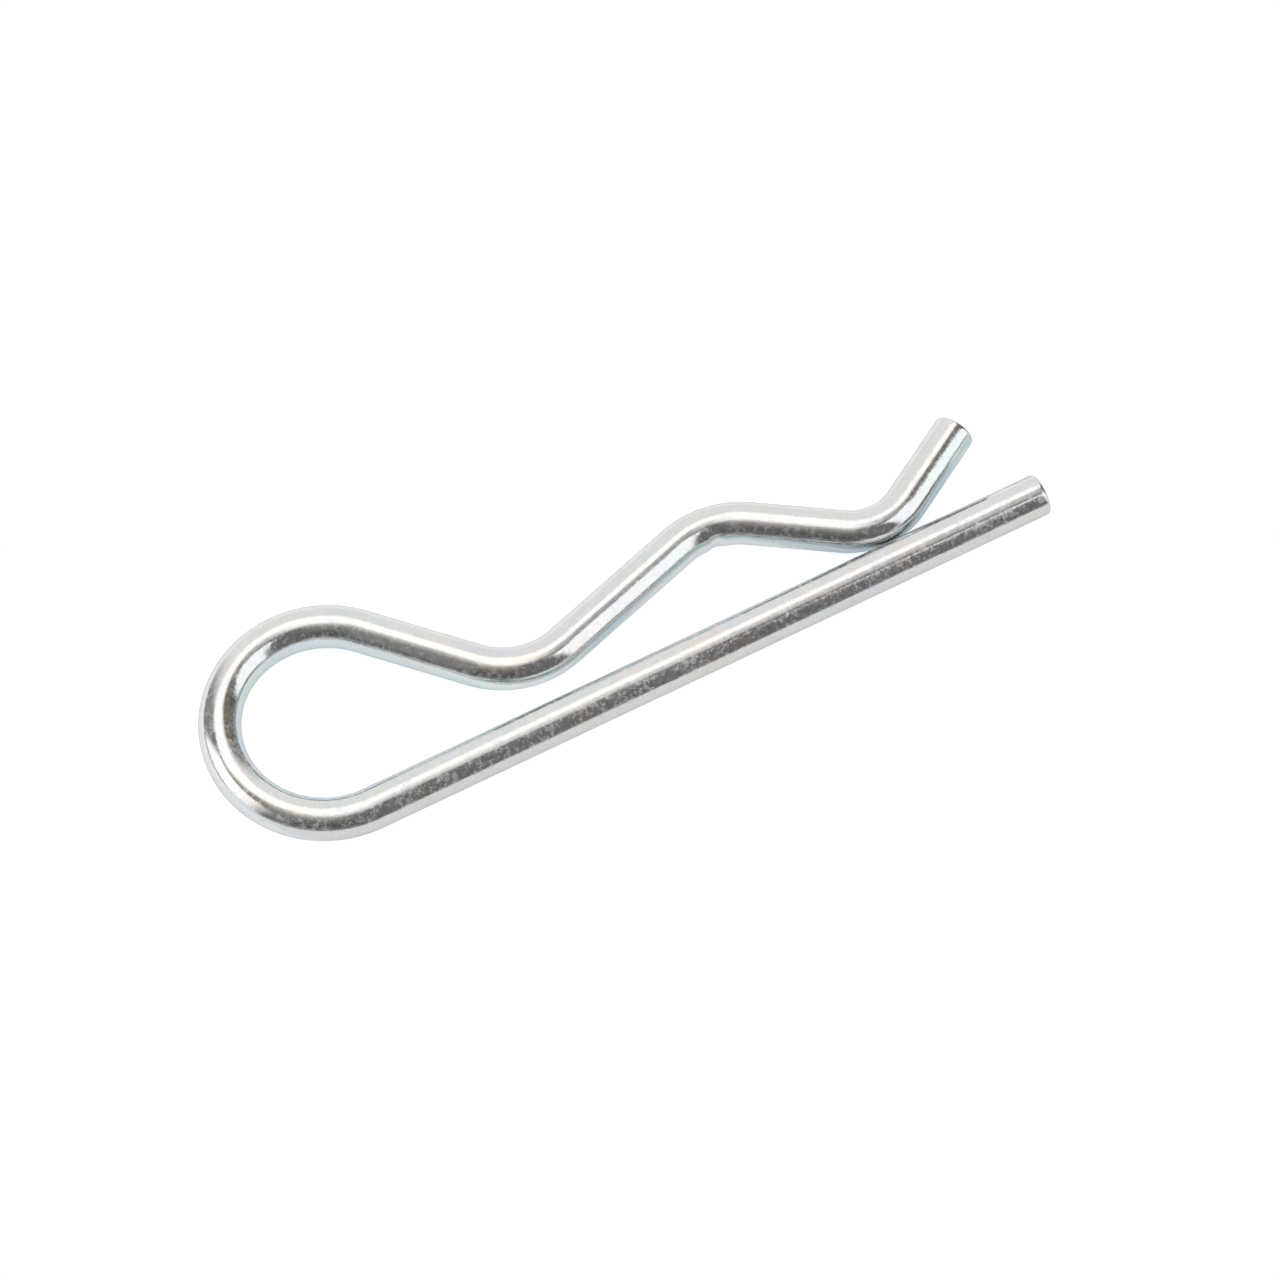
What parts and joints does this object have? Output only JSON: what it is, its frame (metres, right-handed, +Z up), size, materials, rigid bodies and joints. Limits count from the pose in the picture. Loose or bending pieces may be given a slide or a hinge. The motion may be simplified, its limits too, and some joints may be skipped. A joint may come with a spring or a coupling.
{
  "type": "hitch r clip pin",
  "caption": "Spring wire clip with a round loop, a straight leg that goes through a hitch pin's cross hole and a waved leg that snaps over the pin.",
  "frame": {"origin": "midway along the overall length and across the loop, on the surface that the clip lies on", "axes": "+X along the straight leg towards its free end, +Y from the straight leg to the waved leg, +Z up out of the clip's plane"},
  "size_m": [0.0803, 0.0232, 0.004],
  "materials": {
    "zinc_plate": "bright zinc plate on drawn spring steel wire, clear passivated, finely pitted"
  },
  "bodies": {
    "root": {"r_clip": "zinc_plate"}
  },
  "joints": []
}
